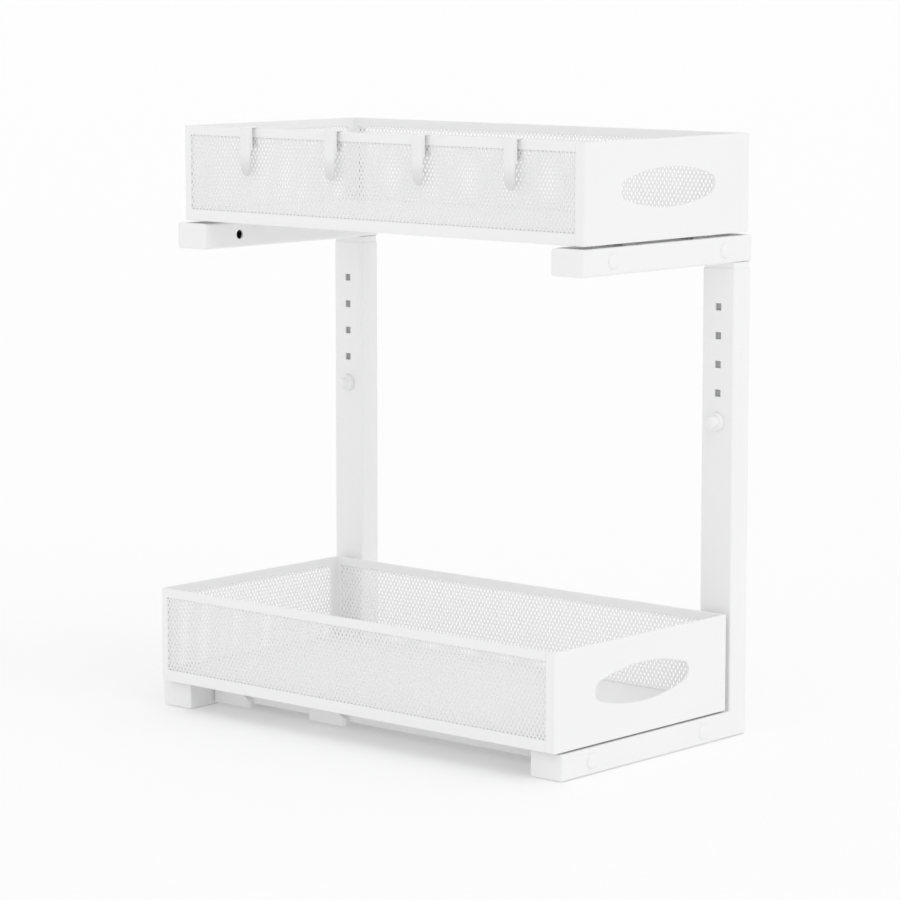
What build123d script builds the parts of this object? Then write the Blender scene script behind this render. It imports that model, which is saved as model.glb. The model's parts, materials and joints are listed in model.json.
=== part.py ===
from build123d import *
import os

os.makedirs("parts", exist_ok=True)

# Two-tier under sink organizer, in millimetres. X runs from the open side to the
# posts, Y from the front panels to the back, and Z up. The origin is on the floor,
# in the middle of the footprint.

# Overall sizes
overall_width = 209.0
frame_span = 378.0
half_width = overall_width / 2
half_span = frame_span / 2

# Rectangular tube of the arms and posts
tube_width = 28.0
tube_depth = 18.5
tube_wall = 1.5
tube_corner = 2.0
pad_thickness = 0.5
lower_arm_setback = 7.0
upper_arm_setback = 26.3
post_height = 328.5
collar_height = 4.5
collar_inset = 0.4
slide_clearance = 0.1
channel_overlap = 214.0

# Square holes in the posts and the knobs in the lowest of them
square_hole = 5.0
hole_pitch = 20.0
hole_count = 5
hole_drop = 26.7
knob_base_diameter = 12.4
knob_base_length = 4.0
knob_tip_diameter = 8.5
knob_length = 9.2
knob_edge = 0.8
knob_shank_diameter = 4.9

# End caps and foot pads
cap_thickness = 1.8
cap_insert = 10.0
pad_length = 22.0
pad_width = 22.0
pad_setback = 6.0

# Domed screws and plugs in the arms
screw_setback = 30.6
lower_screw_inset = 31.1
upper_screw_inset = 30.3
dome_diameter = 10.4
dome_height = 2.2
dome_slope = 3.0
screw_diameter = 4.0
screw_hole = 4.2
access_hole = 6.7
access_hole_offset = 4.5
screw_bite = 12.0
plug_reach = 6.0

# Rails and shoes of the lower basket
rail_width = 6.0
rail_height = 8.0
shoe_leg = 4.5
shoe_inner_leg = 3.5
shoe_bottom = 2.8
shoe_length = 26.0
shoe_lip_length = 36.0
shoe_heel = 11.0
shoe_edge = 1.5
rear_shoe_gap = 0.4
shoe_spacing = 95.0

# Baskets
lower_basket_post_gap = 4.2
upper_basket_inset = 2.3
upper_basket_setback = 28.3
basket_height = 68.0
basket_setback = 0.8
basket_back_gap = 5.7
lower_basket_gap = 1.3
glide_gap = 0.5
basket_wall = 2.0
basket_corner = 1.2
panel_return = 8.5
top_rail = 6.5
bottom_rail = 8.2
rear_strip = 5.8
floor_drop = 6.0
floor_thickness = 1.0
mesh_thickness = 0.8
mesh_columns = 15
mesh_rows = 4
mesh_strand_share = 0.2

# Oval finger pull in each front panel
pull_width = 102.0
pull_height = 27.0
pull_end_height = 13.0
pull_end_bulge = 4.0
pull_rise = 1.2

# Glide straps, welded across the upper arms, and the shoes of the upper basket
strap_width = 14.0
strap_thickness = 1.4
strap_offset = 38.0
strap_inset = 4.0
clip_leg = 2.9
clip_lip = 3.0
clip_lip_thickness = 1.5

# Upright strip behind the back corner of the upper basket
bracket_thickness = 2.0
bracket_width = 15.6
bracket_height = 63.0
bracket_setback = 2.2
bracket_corner = 2.0

# Hooks over the side rim of the upper basket: a thick block outside and a thin tongue
hook_width = 8.1
hook_thickness = 1.4
hook_block_depth = 4.9
hook_block_height = 17.0
hook_stand_off = 2.4
hook_inner_gap = 0.4
hook_inner_leg = 14.0
hook_drop = 34.5
hook_tip_inset = 1.8
hook_tip_height = 4.5
hook_shoulder = 1.0
hook_overrun = 2.0
hook_clearance = 0.15
hook_first = 59.7
hook_last = 67.0
hook_count = 4

# Places worked out from the sizes
lower_arm_height = pad_thickness + tube_depth / 2
lower_arm_top = pad_thickness + tube_depth
post_x = half_width - tube_depth / 2
post_face = half_width - tube_depth
collar_top = post_height + collar_height
upper_arm_bottom = collar_top + slide_clearance
upper_arm_height = upper_arm_bottom + tube_depth / 2
upper_arm_top = upper_arm_bottom + tube_depth
lower_arm_face = lower_arm_setback - half_width
upper_arm_face = upper_arm_setback - half_width
lower_arm_start = lower_arm_face + cap_thickness
upper_arm_start = upper_arm_face + cap_thickness
frame_centre = half_span - tube_width / 2
inner_face = half_span - tube_width
bore_width = tube_width - 2 * tube_wall
bore_depth = tube_depth - 2 * tube_wall
channel_width = bore_width - 2 * slide_clearance
channel_depth = bore_depth - 2 * slide_clearance
channel_face = post_face + tube_wall + slide_clearance
hole_heights = [post_height - hole_drop - hole_pitch * step for step in range(hole_count)]
knob_height = hole_heights[-1]
lower_screws = [lower_arm_face + screw_setback, post_face - lower_screw_inset]
upper_screws = [upper_arm_face + screw_setback, half_width - upper_screw_inset]
upper_access_holes = [x + access_hole_offset for x in upper_screws]
lower_left = -half_width
lower_basket_width = post_face - lower_basket_post_gap - lower_left
upper_left = upper_basket_setback - half_width
upper_basket_width = half_width - upper_basket_inset - upper_left
upper_centre = upper_left + upper_basket_width / 2
basket_length = frame_span - basket_setback - basket_back_gap

# Front and back frames are the same parts, mirrored
sides = {"front": -1, "rear": 1}


def tube_section():
    """Draws the hollow section of the rectangular tube."""
    RectangleRounded(tube_width, tube_depth, tube_corner)
    Rectangle(bore_width, bore_depth, mode=Mode.SUBTRACT)


def arm_holes(places, height, side, diameter):
    """Returns circles at the screw places of an arm, on the plane through its middle."""
    with BuildSketch(Plane.XZ.offset(-side * frame_centre)) as holes:
        with Locations(*[(x, height) for x in places]):
            Circle(diameter / 2)
    return holes.sketch


# Lower frames: one bent tube each, an arm on the floor and the outer post
for place, side in sides.items():
    frame_y = side * frame_centre
    with BuildLine(Plane.XZ.offset(-frame_y)) as bend:
        Polyline(
            (lower_arm_start, lower_arm_height),
            (post_x, lower_arm_height),
            (post_x, post_height),
        )
    with BuildPart() as lower_frame:
        start = Plane(origin=bend.line @ 0, x_dir=(0, 1, 0), z_dir=bend.line % 0)
        with BuildSketch(start):
            tube_section()
        sweep(path=bend.line, transition=Transition.RIGHT)
        with BuildSketch(Plane.YZ.offset(post_face)):
            with Locations(*[(frame_y, height) for height in hole_heights]):
                Rectangle(square_hole, square_hole)
        extrude(amount=tube_wall, mode=Mode.SUBTRACT)
        through = arm_holes(lower_screws, lower_arm_height, side, screw_hole)
        extrude(through, amount=tube_width / 2, both=True, mode=Mode.SUBTRACT)
    lower_frame.part.label = f"{place}_lower_frame"
    export_step(lower_frame.part, f"parts/{place}_lower_frame.step")

# Upper frames: an arm closed at the post end, and the open channel that runs in the post
for place, side in sides.items():
    frame_y = side * frame_centre
    with BuildPart() as upper_frame:
        with BuildSketch(Plane.YZ.offset(upper_arm_start)):
            with Locations((frame_y, upper_arm_height)):
                RectangleRounded(tube_width, tube_depth, tube_corner)
        extrude(amount=half_width - upper_arm_start)
        with BuildSketch(Plane.YZ.offset(upper_arm_start)):
            with Locations((frame_y, upper_arm_height)):
                Rectangle(bore_width, bore_depth)
        extrude(amount=half_width - upper_arm_start - tube_wall, mode=Mode.SUBTRACT)
        with BuildSketch(Plane.XY.offset(post_height - channel_overlap)):
            with Locations((channel_face, frame_y)):
                Rectangle(channel_depth, channel_width, align=(Align.MIN, Align.CENTER))
            with Locations((channel_face + tube_wall, frame_y)):
                Rectangle(
                    channel_depth,
                    channel_width - 2 * tube_wall,
                    align=(Align.MIN, Align.CENTER),
                    mode=Mode.SUBTRACT,
                )
        extrude(amount=upper_arm_bottom + tube_wall - post_height + channel_overlap)
        outward = -side * tube_width / 2
        small = arm_holes(upper_screws, upper_arm_height, side, screw_hole)
        extrude(small, amount=outward, mode=Mode.SUBTRACT)
        wide = arm_holes(upper_access_holes, upper_arm_height, side, access_hole)
        extrude(wide, amount=-outward, mode=Mode.SUBTRACT)
    upper_frame.part.label = f"{place}_upper_frame"
    export_step(upper_frame.part, f"parts/{place}_upper_frame.step")

# Collars on top of the outer posts
for place, side in sides.items():
    with BuildPart() as collar:
        with BuildSketch(Plane.XY.offset(post_height)):
            with Locations((post_x, side * frame_centre)):
                RectangleRounded(
                    tube_depth - 2 * collar_inset, tube_width - 2 * collar_inset, tube_corner
                )
                Rectangle(bore_depth, bore_width, mode=Mode.SUBTRACT)
        extrude(amount=collar_height)
    collar.part.label = f"{place}_post_collar"
    export_step(collar.part, f"parts/{place}_post_collar.step")

# Lock knobs: a disc, a narrower grip and a shank that ends just before the channel's web
for place, side in sides.items():
    knob_y = side * frame_centre
    knob_seat = post_face - slide_clearance
    with BuildPart() as knob:
        with BuildSketch(Plane.YZ.offset(knob_seat)):
            with Locations((knob_y, knob_height)):
                Circle(knob_base_diameter / 2)
        extrude(amount=-knob_base_length)
        with BuildSketch(Plane.YZ.offset(knob_seat - knob_base_length)):
            with Locations((knob_y, knob_height)):
                Circle(knob_tip_diameter / 2)
        extrude(amount=knob_base_length - knob_length)
        chamfer(knob.edges().filter_by(GeomType.CIRCLE).group_by(Axis.X)[0], knob_edge)
        with BuildSketch(Plane.YZ.offset(knob_seat)):
            with Locations((knob_y, knob_height)):
                Circle(knob_shank_diameter / 2)
        extrude(amount=channel_face - slide_clearance - knob_seat)
    knob.part.label = f"{place}_lock_knob"
    export_step(knob.part, f"parts/{place}_lock_knob.step")


# End caps, one node for each tier: a flat plate outside and a plug in the tube
for tier, cap_face, cap_height in (
    ("lower", lower_arm_face, lower_arm_height),
    ("upper", upper_arm_face, upper_arm_height),
):
    with BuildPart() as caps:
        with BuildSketch(Plane.YZ.offset(cap_face)):
            with Locations((-frame_centre, cap_height), (frame_centre, cap_height)):
                RectangleRounded(tube_width, tube_depth, tube_corner)
        extrude(amount=cap_thickness)
        with BuildSketch(Plane.YZ.offset(cap_face + cap_thickness)):
            with Locations((-frame_centre, cap_height), (frame_centre, cap_height)):
                Rectangle(bore_width - slide_clearance, bore_depth - slide_clearance)
        extrude(amount=cap_insert)
    caps.part.label = f"{tier}_arm_end_caps"
    export_step(caps.part, f"parts/{tier}_arm_end_caps.step")

# Foot pads at both ends of the lower arms
with BuildPart() as pads:
    first_pad = lower_arm_start + pad_setback + pad_length / 2
    last_pad = half_width - pad_setback - pad_length / 2
    with BuildSketch():
        for side in sides.values():
            with Locations((first_pad, side * frame_centre), (last_pad, side * frame_centre)):
                Rectangle(pad_length, pad_width)
    extrude(amount=pad_thickness)
pads.part.label = "foot_pads"
export_step(pads.part, "parts/foot_pads.step")


def domed_profile(x, height, side, reach):
    """Returns half the section of a low dome on an arm's outer face, with its shank."""
    face = side * half_span
    with BuildSketch(Plane.XY.offset(height)) as profile:
        with BuildLine():
            Polyline(
                (x, face + side * dome_height),
                (x + dome_diameter / 2 - dome_slope, face + side * dome_height),
                (x + dome_diameter / 2, face),
                (x + screw_diameter / 2, face),
                (x + screw_diameter / 2, face - side * reach),
                (x, face - side * reach),
                close=True,
            )
        make_face()
    return profile.sketch


# Screws through the lower arms into the rails, and plugs in the upper arms
with BuildPart() as rail_screws:
    for side in sides.values():
        for x in lower_screws:
            section = domed_profile(x, lower_arm_height, side, tube_width + screw_bite)
            revolve(section, axis=Axis((x, 0, lower_arm_height), (0, 1, 0)))
rail_screws.part.label = "rail_screws"
export_step(rail_screws.part, "parts/rail_screws.step")

with BuildPart() as arm_plugs:
    for side in sides.values():
        for x in upper_screws:
            section = domed_profile(x, upper_arm_height, side, plug_reach)
            revolve(section, axis=Axis((x, 0, upper_arm_height), (0, 1, 0)))
arm_plugs.part.label = "upper_arm_plugs"
export_step(arm_plugs.part, "parts/upper_arm_plugs.step")

# Rails between the lower arms, with a screw hole in each end
for place, rail_x in zip(("left", "right"), lower_screws):
    with BuildPart() as rail:
        with BuildSketch(Plane.XZ.offset(-inner_face)):
            with Locations((rail_x, lower_arm_height)):
                Rectangle(rail_width, rail_height)
        extrude(amount=2 * inner_face)
        for side in sides.values():
            with BuildSketch(Plane.XZ.offset(-side * inner_face)):
                with Locations((rail_x, lower_arm_height)):
                    Circle(screw_hole / 2)
            extrude(amount=side * (screw_bite + slide_clearance), mode=Mode.SUBTRACT)
    rail.part.label = f"lower_{place}_rail"
    export_step(rail.part, f"parts/lower_{place}_rail.step")

# Places of the baskets
lower_bottom = lower_arm_top + lower_basket_gap
lower_floor_underside = lower_bottom + floor_drop
upper_bottom = upper_arm_top + strap_thickness + glide_gap
upper_floor_underside = upper_bottom + floor_drop
front_y = basket_setback - half_span
back_y = front_y + basket_length

# Shoes of the lower basket: a block under the floor, a leg beside the rail and a lip under it
rear_shoe_back = inner_face - rear_shoe_gap
shoe_backs = [rear_shoe_back, rear_shoe_back - shoe_spacing]
rail_bottom = lower_arm_height - rail_height / 2
for place, rail_x, turn in zip(("left", "right"), lower_screws, (-1, 1)):
    outer_face = rail_x + turn * (rail_width / 2 + slide_clearance + shoe_leg)
    open_face = rail_x - turn * (rail_width / 2 + shoe_inner_leg)
    with BuildPart() as shoes:
        for shoe_back in shoe_backs:
            with BuildSketch(Plane.YZ.offset(min(outer_face, open_face))):
                with BuildLine():
                    Polyline(
                        (shoe_back, shoe_bottom),
                        (shoe_back, lower_floor_underside),
                        (shoe_back - shoe_length, lower_floor_underside),
                        (shoe_back - shoe_length, shoe_bottom + shoe_heel),
                        (shoe_back - shoe_lip_length, shoe_bottom + shoe_heel / 2),
                        (shoe_back - shoe_lip_length, shoe_bottom),
                        close=True,
                    )
                make_face()
            extrude(amount=abs(outer_face - open_face))
        chamfer(shoes.edges().filter_by(Axis.Z), shoe_edge)
        with BuildSketch(Plane.XZ.offset(-rear_shoe_back)):
            with Locations((rail_x - turn * shoe_leg, lower_arm_height)):
                Rectangle(
                    rail_width + 2 * slide_clearance + 2 * shoe_leg,
                    rail_height + 2 * slide_clearance,
                )
        extrude(amount=shoe_spacing + shoe_lip_length, mode=Mode.SUBTRACT)
    shoes.part.label = f"lower_{place}_shoes"
    export_step(shoes.part, f"parts/lower_{place}_shoes.step")

# Glide straps across the upper arms, and the upper basket's shoes
for place, turn in (("left", -1), ("right", 1)):
    strap_x = upper_centre + turn * strap_offset
    with BuildPart() as strap:
        with BuildSketch(Plane.XY.offset(upper_arm_top)):
            with Locations((strap_x, 0)):
                Rectangle(strap_width, frame_span - 2 * strap_inset)
        extrude(amount=strap_thickness)
    strap.part.label = f"upper_{place}_glide"
    export_step(strap.part, f"parts/upper_{place}_glide.step")

    clip_width = strap_width + 2 * slide_clearance + 2 * clip_leg
    passage_bottom = upper_arm_top - slide_clearance
    clip_bottom = passage_bottom - clip_lip_thickness
    with BuildPart() as clips:
        for shoe_back in shoe_backs:
            with BuildSketch(Plane.XZ.offset(-shoe_back)):
                with Locations((strap_x, upper_floor_underside)):
                    Rectangle(
                        clip_width,
                        upper_floor_underside - clip_bottom,
                        align=(Align.CENTER, Align.MAX),
                    )
                with Locations((strap_x, passage_bottom)):
                    Rectangle(
                        strap_width + 2 * slide_clearance,
                        strap_thickness + 2 * slide_clearance,
                        align=(Align.CENTER, Align.MIN),
                        mode=Mode.SUBTRACT,
                    )
                with Locations((strap_x, clip_bottom)):
                    Rectangle(
                        clip_width - 2 * clip_leg - 2 * clip_lip,
                        clip_lip_thickness,
                        align=(Align.CENTER, Align.MIN),
                        mode=Mode.SUBTRACT,
                    )
            extrude(amount=shoe_length)
        chamfer(clips.edges().filter_by(Axis.Z).group_by(SortBy.LENGTH)[-1], shoe_edge)
    clips.part.label = f"upper_{place}_shoes"
    export_step(clips.part, f"parts/upper_{place}_shoes.step")

# Upright strip on the rear upper arm, behind the basket's corner
with BuildPart() as bracket:
    with BuildSketch(Plane.YZ.offset(half_width - bracket_thickness)):
        with Locations((half_span - bracket_setback, upper_arm_top)):
            Rectangle(bracket_width, bracket_height, align=(Align.MAX, Align.MIN))
    extrude(amount=bracket_thickness)
    fillet(bracket.edges().filter_by(Axis.X).group_by(Axis.Z)[-1], bracket_corner)
bracket.part.label = "rear_bracket"
export_step(bracket.part, "parts/rear_bracket.step")


def finger_pull(centre_x, centre_z):
    """Returns the blunt-ended oval: two wide arcs joined by two short bulging ends."""
    end = pull_width / 2 - pull_end_bulge
    shoulder = pull_end_height / 2
    with BuildSketch(Plane.XZ.offset(-front_y)) as oval:
        with BuildLine():
            for turn in (-1, 1):
                ThreePointArc(
                    (centre_x - end, centre_z + turn * shoulder),
                    (centre_x, centre_z + turn * pull_height / 2),
                    (centre_x + end, centre_z + turn * shoulder),
                )
                ThreePointArc(
                    (centre_x + turn * end, centre_z + shoulder),
                    (centre_x + turn * pull_width / 2, centre_z),
                    (centre_x + turn * end, centre_z - shoulder),
                )
        make_face()
    return oval.sketch


def net_openings(centre, window_low, window_length, window_height, columns):
    """Cuts the staggered diamond openings of a mesh wall out of its sheet."""
    column_pitch = window_length / columns
    row_pitch = window_height / (mesh_rows + 1)
    half_opening = column_pitch * (1 - mesh_strand_share) / 2
    tall_opening = row_pitch * (1 - mesh_strand_share)
    for row in range(mesh_rows):
        count = columns - row % 2
        height = window_low + row_pitch * (row + 1)
        with Locations((centre, height)):
            with GridLocations(column_pitch, row_pitch, count, 1):
                Polygon(
                    (-half_opening, 0),
                    (0, -tall_opening),
                    (half_opening, 0),
                    (0, tall_opening),
                    mode=Mode.SUBTRACT,
                )


# Both baskets: folded front panel, frame, three mesh walls in the frame's windows and a floor
baskets = {
    "lower": (lower_left, lower_basket_width, lower_bottom),
    "upper": (upper_left, upper_basket_width, upper_bottom),
}
side_front = front_y + panel_return
window_back = back_y - rear_strip
for tier, (left, width, bottom) in baskets.items():
    centre = left + width / 2
    window_low = bottom + bottom_rail
    window_height = basket_height - bottom_rail - top_rail

    with BuildPart() as front_panel:
        with BuildSketch(Plane.XY.offset(bottom)):
            with Locations((centre, front_y)):
                Rectangle(width, panel_return, align=(Align.CENTER, Align.MIN))
        extrude(amount=basket_height)
        fillet(front_panel.edges().filter_by(Axis.Z).group_by(Axis.Y)[0], basket_corner)
        with BuildSketch(Plane.XY.offset(bottom)):
            with Locations((centre, front_y + basket_wall)):
                Rectangle(
                    width - 2 * basket_wall, panel_return, align=(Align.CENTER, Align.MIN)
                )
        extrude(amount=basket_height, mode=Mode.SUBTRACT)
        oval = finger_pull(centre, bottom + basket_height / 2 + pull_rise)
        extrude(oval, amount=-basket_wall, mode=Mode.SUBTRACT)
    front_panel.part.label = f"{tier}_basket_front_panel"
    export_step(front_panel.part, f"parts/{tier}_basket_front_panel.step")

    with BuildPart() as basket_frame:
        with BuildSketch(Plane.XY.offset(bottom)):
            with Locations((centre, side_front)):
                Rectangle(width, back_y - side_front, align=(Align.CENTER, Align.MIN))
        extrude(amount=basket_height)
        fillet(basket_frame.edges().filter_by(Axis.Z).group_by(Axis.Y)[-1], basket_corner)
        with BuildSketch(Plane.XY.offset(bottom)):
            with Locations((centre, side_front)):
                Rectangle(
                    width - 2 * basket_wall,
                    back_y - basket_wall - side_front,
                    align=(Align.CENTER, Align.MIN),
                )
        extrude(amount=basket_height, mode=Mode.SUBTRACT)
        with BuildSketch(Plane.YZ.offset(left)):
            with Locations((side_front, window_low)):
                Rectangle(
                    window_back - side_front, window_height, align=(Align.MIN, Align.MIN)
                )
        extrude(amount=width, mode=Mode.SUBTRACT)
        with BuildSketch(Plane.XZ.offset(-back_y)):
            with Locations((centre, window_low)):
                Rectangle(
                    width - 2 * panel_return, window_height, align=(Align.CENTER, Align.MIN)
                )
        extrude(amount=rear_strip, mode=Mode.SUBTRACT)
    basket_frame.part.label = f"{tier}_basket_frame"
    export_step(basket_frame.part, f"parts/{tier}_basket_frame.step")

    mesh_recess = (basket_wall - mesh_thickness) / 2
    for place, sheet_x in (
        ("left", left + mesh_recess),
        ("right", left + width - mesh_recess - mesh_thickness),
    ):
        with BuildPart() as side_mesh:
            with BuildSketch(Plane.YZ.offset(sheet_x)):
                with Locations((side_front, window_low)):
                    Rectangle(
                        window_back - side_front, window_height, align=(Align.MIN, Align.MIN)
                    )
                net_openings(
                    (side_front + window_back) / 2,
                    window_low,
                    window_back - side_front,
                    window_height,
                    mesh_columns,
                )
            extrude(amount=mesh_thickness)
        side_mesh.part.label = f"{tier}_basket_{place}_mesh"
        export_step(side_mesh.part, f"parts/{tier}_basket_{place}_mesh.step")

    rear_window = width - 2 * panel_return
    with BuildPart() as rear_mesh:
        with BuildSketch(Plane.XZ.offset(mesh_recess - back_y)):
            with Locations((centre, window_low)):
                Rectangle(rear_window, window_height, align=(Align.CENTER, Align.MIN))
            net_openings(
                centre,
                window_low,
                rear_window,
                window_height,
                round(mesh_columns * rear_window / (window_back - side_front)),
            )
        extrude(amount=mesh_thickness)
    rear_mesh.part.label = f"{tier}_basket_rear_mesh"
    export_step(rear_mesh.part, f"parts/{tier}_basket_rear_mesh.step")

    with BuildPart() as basket_floor:
        with BuildSketch(Plane.XY.offset(bottom + floor_drop)):
            with Locations((centre, front_y + basket_wall)):
                Rectangle(
                    width - 2 * basket_wall,
                    basket_length - 2 * basket_wall,
                    align=(Align.CENTER, Align.MIN),
                )
        extrude(amount=floor_thickness)
    basket_floor.part.label = f"{tier}_basket_floor"
    export_step(basket_floor.part, f"parts/{tier}_basket_floor.step")

# Hooks over the side rim: inner leg, bridge, outer block and the tongue under it
rim_top = upper_bottom + basket_height
hook_seat = rim_top + hook_clearance
hook_crown = hook_seat + hook_thickness
block_inner_face = upper_left - hook_stand_off
block_outer_face = block_inner_face - hook_block_depth
block_foot = hook_seat - hook_block_height
inside_near = upper_left + basket_wall + hook_inner_gap
inside_far = inside_near + hook_thickness
hook_foot = rim_top - hook_drop
tip_face = block_outer_face + hook_tip_inset
tip_end = hook_foot - hook_overrun
bend_height = (block_foot + hook_foot) / 2
bend_face = block_outer_face + hook_tip_inset / 4
hook_spacing = (basket_length - hook_first - hook_last) / (hook_count - 1)
for number in range(hook_count):
    hook_y = front_y + hook_first + hook_spacing * (hook_count - 1 - number)
    with BuildPart() as hook:
        with BuildSketch(Plane.XZ.offset(-hook_y)):
            with BuildLine():
                Polyline(
                    (tip_face, tip_end),
                    (tip_face + hook_thickness, tip_end),
                    (tip_face + hook_thickness, hook_foot),
                )
                ThreePointArc(
                    (tip_face + hook_thickness, hook_foot),
                    (bend_face + hook_thickness, bend_height),
                    (block_outer_face + hook_thickness, block_foot),
                )
                Polyline(
                    (block_outer_face + hook_thickness, block_foot),
                    (block_inner_face, block_foot),
                    (block_inner_face, hook_seat),
                    (inside_near, hook_seat),
                    (inside_near, rim_top - hook_inner_leg),
                    (inside_far, rim_top - hook_inner_leg),
                    (inside_far, hook_crown),
                    (block_outer_face + hook_shoulder, hook_crown),
                    (block_outer_face, hook_crown - hook_shoulder),
                    (block_outer_face, block_foot),
                )
                ThreePointArc(
                    (block_outer_face, block_foot),
                    (bend_face, bend_height),
                    (tip_face, hook_foot),
                )
                Line((tip_face, hook_foot), (tip_face, tip_end))
            make_face()
        extrude(amount=hook_width, both=True)
        with BuildSketch(Plane.YZ.offset(block_outer_face)):
            with BuildLine():
                Polyline(
                    (hook_y - hook_width / 2, hook_foot + hook_tip_height),
                    (hook_y - hook_width / 2, hook_crown + hook_overrun),
                    (hook_y + hook_width / 2, hook_crown + hook_overrun),
                    (hook_y + hook_width / 2, hook_foot + hook_tip_height),
                )
                ThreePointArc(
                    (hook_y + hook_width / 2, hook_foot + hook_tip_height),
                    (hook_y, hook_foot),
                    (hook_y - hook_width / 2, hook_foot + hook_tip_height),
                )
            make_face()
        extrude(amount=inside_far - block_outer_face, mode=Mode.INTERSECT)
    hook.part.label = f"side_hook_{number + 1}"
    export_step(hook.part, f"parts/side_hook_{number + 1}.step")
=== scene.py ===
"""Looks of a two-tier under sink organizer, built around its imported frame.

Tubes, panels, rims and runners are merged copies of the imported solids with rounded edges.
Nets, knobs, domes, end caps and hooks are surfaces worked out here. Lengths are in metres.
"""

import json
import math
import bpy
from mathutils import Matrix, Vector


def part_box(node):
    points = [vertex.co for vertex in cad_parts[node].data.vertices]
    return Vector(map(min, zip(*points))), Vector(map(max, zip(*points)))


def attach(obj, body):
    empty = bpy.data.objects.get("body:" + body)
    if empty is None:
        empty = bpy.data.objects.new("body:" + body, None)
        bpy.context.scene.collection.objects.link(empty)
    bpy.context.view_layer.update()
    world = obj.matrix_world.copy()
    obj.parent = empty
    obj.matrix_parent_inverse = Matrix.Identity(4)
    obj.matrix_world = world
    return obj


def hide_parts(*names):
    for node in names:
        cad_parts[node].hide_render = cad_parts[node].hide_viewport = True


bl_info = {
    "name": "Under Sink Organizer Looks",
    "version": (1, 0, 0),
    "blender": (4, 5, 0),
    "location": "3D View > Sidebar > Organizer",
    "description": "Finishes, fine nets and small round parts of a two-tier under sink organizer",
    "category": "Object",
}

from collections import namedtuple

import bmesh
import bpy
import numpy as np
from bpy.props import FloatProperty, FloatVectorProperty, IntProperty, PointerProperty
from bpy.types import Operator, Panel, PropertyGroup
from mathutils import Matrix, Vector

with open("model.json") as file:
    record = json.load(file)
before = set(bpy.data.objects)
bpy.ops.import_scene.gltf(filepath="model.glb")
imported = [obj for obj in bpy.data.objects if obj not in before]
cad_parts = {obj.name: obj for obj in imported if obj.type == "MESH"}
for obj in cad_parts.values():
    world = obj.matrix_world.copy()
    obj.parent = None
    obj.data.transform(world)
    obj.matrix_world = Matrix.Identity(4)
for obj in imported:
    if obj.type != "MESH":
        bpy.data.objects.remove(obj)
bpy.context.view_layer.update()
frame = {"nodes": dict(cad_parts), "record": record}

BODIES = frame["record"]["behaviour"]["bodies"]
BODY_OF = {node: body for body, nodes in BODIES.items() for node in nodes}
SLOT_OF = {part["node"]: part["material_slot"] for part in frame["record"]["subparts"]}
SIDES = ("front", "rear")
TIERS = ("lower", "upper")
HOOKS = [f"side_hook_{number}" for number in range(1, 5)]
QUARTER_TURN = math.pi / 2
X_AXIS, Y_AXIS, Z_AXIS = np.eye(3)


def length(name, description, default):
    """A property that holds a length in metres."""
    return FloatProperty(
        name=name, description=description, default=default, unit="LENGTH", precision=5
    )


def colour(name, description, default):
    """A property that holds a linear colour."""
    return FloatVectorProperty(
        name=name, description=description, default=default, subtype="COLOR", size=3, min=0, max=1
    )


def amount(name, description, default, low=0.0, high=1.0):
    """A property that holds a plain number between two limits."""
    return FloatProperty(name=name, description=description, default=default, min=low, max=high)


def brightness(name, description, default):
    """A property that holds the strength of a light, without an upper limit."""
    return FloatProperty(name=name, description=description, default=default, min=0)


def arc(name, description, default):
    """A property that holds an angle in radians."""
    return FloatProperty(name=name, description=description, default=default, subtype="ANGLE")


def lamp_direction(name, description, default):
    """A property that holds the direction from which a lamp shines."""
    return FloatVectorProperty(
        name=name, description=description, default=default, subtype="DIRECTION", size=3
    )


class NetSizes(PropertyGroup):
    """Sizes of the expanded nets in the basket walls."""

    column_pitch: length("Column Pitch", "Distance between two openings of a row", 0.00345)
    row_pitch: length("Row Pitch", "Height from one row of openings to the next", 0.0028)
    opening: amount("Opening", "Size of an opening as a share of its diamond", 0.55, 0.1, 0.9)
    thickness: length("Thickness", "Thickness of the net", 0.0004)
    lap: length("Lap", "How far the net runs into the rims, where its border is hidden", 0.003)
    hem_gap: length("Hem Gap", "Distance from the net's middle to the lip behind it", 0.0011)
    hem_thickness: length("Hem Thickness", "Thickness of the lip that holds the net", 0.0004)
    hem_width: length("Hem Width", "How far the lip reaches into the window", 0.0006)
    hem_lap: length("Hem Lap", "How far the lip runs into the rim", 0.001)
    roundness: amount("Roundness", "Power of an outline: 1 a diamond, 2 an oval", 1.35, 1, 2)


class RoundSizes(PropertyGroup):
    """Sizes of edges and of the small round parts."""

    tube_edge: length("Tube Edge", "Radius at the cut edges of the tubes", 0.00035)
    sheet_edge: length("Sheet Edge", "Radius at the edges of the folded sheets", 0.0005)
    runner_edge: length("Runner Edge", "Radius at the edges of rails, straps and clips", 0.0004)
    shoe_edge: length("Shoe Edge", "Radius at the edges of the lower basket's shoes", 0.001)
    knob_edge: length("Knob Edge", "Radius at the rims of the lock knobs", 0.0009)
    knob_cove: length("Knob Cove", "Radius of the hollow where grip and disc meet", 0.0002)
    cap_edge: length("Cap Edge", "Radius round the face of an end cap", 0.0009)
    cap_crown: length("Cap Crown", "Height of the middle of an end cap over its rim", 0.00012)
    tube_corner: length("Tube Corner", "Outer corner radius of the rectangular tube", 0.002)
    hook_edge: length("Hook Edge", "Radius at the edges of the moulded hooks", 0.0006)
    segments: IntProperty(
        name="Segments", description="Faces round a round part", default=72, min=12
    )


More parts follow.
